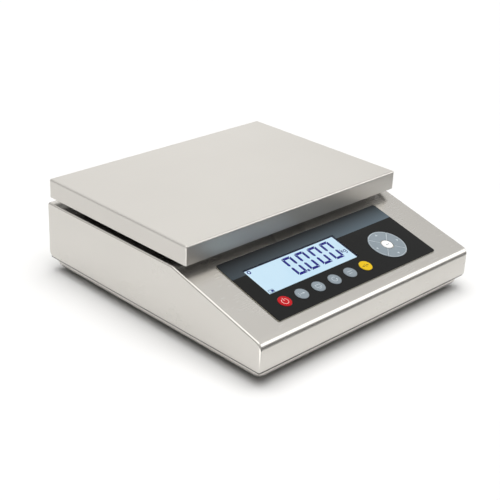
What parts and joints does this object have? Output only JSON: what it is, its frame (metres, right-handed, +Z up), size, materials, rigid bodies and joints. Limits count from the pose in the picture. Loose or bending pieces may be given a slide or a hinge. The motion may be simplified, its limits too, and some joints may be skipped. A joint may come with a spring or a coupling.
{
  "type": "bench scale",
  "caption": "Stainless bench scale: a wedge-shaped base with a backlit display and round keys on its slope, and a flat lift-off weighing pan.",
  "frame": {"origin": "on the standing surface, under the middle of the scale's overall width and depth", "axes": "+X to the right as the user faces the display, +Y from the display to the rear, +Z up"},
  "size_m": [0.306, 0.3134, 0.1015],
  "materials": {
    "stainless": "brushed stainless sheet",
    "zinc_steel": "zinc plated",
    "cast_aluminium": "cast, satin",
    "cell_aluminium": "milled",
    "black_rubber": "matt rubber",
    "overlay_black": "fine matt polyester film",
    "window_clear": "clear film",
    "lcd_glass": "backlit pale blue",
    "backlight": "white diffuser",
    "black_plastic": "fine texture",
    "key_grey": "embossed film",
    "key_red": "embossed film",
    "key_yellow": "embossed film",
    "key_white": "embossed film",
    "circuit_film": "polyester film",
    "board_green": "solder mask",
    "battery_grey": "moulded case",
    "brass": "tinned tab",
    "lead_grey": "cable jacket",
    "lead_red": "wire jacket",
    "lead_black": "wire jacket",
    "vial": "spirit vial"
  },
  "bodies": {
    "base": {"upper_housing": "stainless", "bottom_tray": "stainless", "tray_gasket": "black_rubber", "housing_pillars": "zinc_steel", "tray_screws": "zinc_steel", "foot_bushes": "zinc_steel", "stiffener_plate": "stainless", "load_cell_spacer": "zinc_steel", "overload_stop": "zinc_steel", "load_cell": "cell_aluminium", "load_cell_bolts": "zinc_steel", "deck_seal": "black_rubber", "keypad_circuit": "circuit_film", "keypad_overlay": "overlay_black", "display_window": "window_clear", "lcd_panel": "lcd_glass", "lcd_backlight": "backlight", "lcd_frame": "black_plastic", "main_board": "board_green", "board_components": "black_plastic", "board_standoffs": "zinc_steel", "board_screws": "zinc_steel", "battery": "battery_grey", "battery_terminals": "brass", "battery_strap": "zinc_steel", "battery_strap_screws": "zinc_steel", "power_inlet": "black_plastic", "power_inlet_nut": "brass", "level_case": "black_plastic", "level_vial": "vial", "load_cell_cable": "lead_grey", "battery_lead_black": "lead_black", "battery_lead_red": "lead_red", "power_lead": "lead_black"},
    "platform": {"platform_post": "zinc_steel", "post_bolts": "zinc_steel", "platform_spider": "cast_aluminium", "pan_cushions": "black_rubber"},
    "pan": {"weighing_pan": "stainless"},
    "key_power": {"key_power": "key_red"},
    "key_one": {"key_one": "key_grey"},
    "key_two": {"key_two": "key_grey"},
    "key_three": {"key_three": "key_grey"},
    "key_four": {"key_four": "key_grey"},
    "key_tare": {"key_tare": "key_yellow"},
    "key_up": {"key_up": "key_grey"},
    "key_left": {"key_left": "key_grey"},
    "key_down": {"key_down": "key_grey"},
    "key_right": {"key_right": "key_grey"},
    "key_enter": {"key_enter": "key_white"},
    "foot_pad_front_left": {"foot_pad_front_left": "black_rubber"},
    "foot_screw_front_left": {"foot_screw_front_left": "zinc_steel"},
    "foot_pad_front_right": {"foot_pad_front_right": "black_rubber"},
    "foot_screw_front_right": {"foot_screw_front_right": "zinc_steel"},
    "foot_pad_rear_left": {"foot_pad_rear_left": "black_rubber"},
    "foot_screw_rear_left": {"foot_screw_rear_left": "zinc_steel"},
    "foot_pad_rear_right": {"foot_pad_rear_right": "black_rubber"},
    "foot_screw_rear_right": {"foot_screw_rear_right": "zinc_steel"}
  },
  "joints": [
    {"name": "platform_deflection", "type": "slide", "parent": "base", "child": "platform", "axis": [0, 0, -1], "range_m": [0, 0.0006], "stiffness_N_per_m": 580000, "deforming": ["load_cell"]},
    {"name": "pan_lift", "type": "slide", "parent": "platform", "child": "pan", "axis": [0, 0, 1], "range_m": [0, 0.1]},
    {"name": "key_power_press", "type": "slide", "parent": "base", "child": "key_power", "axis": [0, 0.2588, -0.9659], "range_m": [0, 0.0003], "stiffness_N_per_m": 9000},
    {"name": "key_one_press", "type": "slide", "parent": "base", "child": "key_one", "axis": [0, 0.2588, -0.9659], "range_m": [0, 0.0003], "stiffness_N_per_m": 9000},
    {"name": "key_two_press", "type": "slide", "parent": "base", "child": "key_two", "axis": [0, 0.2588, -0.9659], "range_m": [0, 0.0003], "stiffness_N_per_m": 9000},
    {"name": "key_three_press", "type": "slide", "parent": "base", "child": "key_three", "axis": [0, 0.2588, -0.9659], "range_m": [0, 0.0003], "stiffness_N_per_m": 9000},
    {"name": "key_four_press", "type": "slide", "parent": "base", "child": "key_four", "axis": [0, 0.2588, -0.9659], "range_m": [0, 0.0003], "stiffness_N_per_m": 9000},
    {"name": "key_tare_press", "type": "slide", "parent": "base", "child": "key_tare", "axis": [0, 0.2588, -0.9659], "range_m": [0, 0.0003], "stiffness_N_per_m": 9000},
    {"name": "key_up_press", "type": "slide", "parent": "base", "child": "key_up", "axis": [0, 0.2588, -0.9659], "range_m": [0, 0.0003], "stiffness_N_per_m": 9000},
    {"name": "key_left_press", "type": "slide", "parent": "base", "child": "key_left", "axis": [0, 0.2588, -0.9659], "range_m": [0, 0.0003], "stiffness_N_per_m": 9000},
    {"name": "key_down_press", "type": "slide", "parent": "base", "child": "key_down", "axis": [0, 0.2588, -0.9659], "range_m": [0, 0.0003], "stiffness_N_per_m": 9000},
    {"name": "key_right_press", "type": "slide", "parent": "base", "child": "key_right", "axis": [0, 0.2588, -0.9659], "range_m": [0, 0.0003], "stiffness_N_per_m": 9000},
    {"name": "key_enter_press", "type": "slide", "parent": "base", "child": "key_enter", "axis": [0, 0.2588, -0.9659], "range_m": [0, 0.0003], "stiffness_N_per_m": 9000},
    {"name": "foot_height_front_left", "type": "slide", "parent": "base", "child": "foot_pad_front_left", "axis": [0, 0, -1], "range_m": [0, 0.005]},
    {"name": "foot_turn_front_left", "type": "hinge", "parent": "foot_pad_front_left", "child": "foot_screw_front_left", "pos_m": [-0.119, -0.12275, 0.003], "axis": [0, 0, -1], "range_deg": [0, 1441]},
    {"name": "foot_height_front_right", "type": "slide", "parent": "base", "child": "foot_pad_front_right", "axis": [0, 0, -1], "range_m": [0, 0.005]},
    {"name": "foot_turn_front_right", "type": "hinge", "parent": "foot_pad_front_right", "child": "foot_screw_front_right", "pos_m": [0.119, -0.12275, 0.003], "axis": [0, 0, -1], "range_deg": [0, 1441]},
    {"name": "foot_height_rear_left", "type": "slide", "parent": "base", "child": "foot_pad_rear_left", "axis": [0, 0, -1], "range_m": [0, 0.005]},
    {"name": "foot_turn_rear_left", "type": "hinge", "parent": "foot_pad_rear_left", "child": "foot_screw_rear_left", "pos_m": [-0.119, 0.12125, 0.003], "axis": [0, 0, -1], "range_deg": [0, 1441]},
    {"name": "foot_height_rear_right", "type": "slide", "parent": "base", "child": "foot_pad_rear_right", "axis": [0, 0, -1], "range_m": [0, 0.005]},
    {"name": "foot_turn_rear_right", "type": "hinge", "parent": "foot_pad_rear_right", "child": "foot_screw_rear_right", "pos_m": [0.119, 0.12125, 0.003], "axis": [0, 0, -1], "range_deg": [0, 1441]}
  ],
  "couplings": [
    {"joint": "foot_turn_front_left", "follows": "foot_height_front_left", "rad_per_m": 5026.5},
    {"joint": "foot_turn_front_right", "follows": "foot_height_front_right", "rad_per_m": 5026.5},
    {"joint": "foot_turn_rear_left", "follows": "foot_height_rear_left", "rad_per_m": 5026.5},
    {"joint": "foot_turn_rear_right", "follows": "foot_height_rear_right", "rad_per_m": 5026.5}
  ]
}
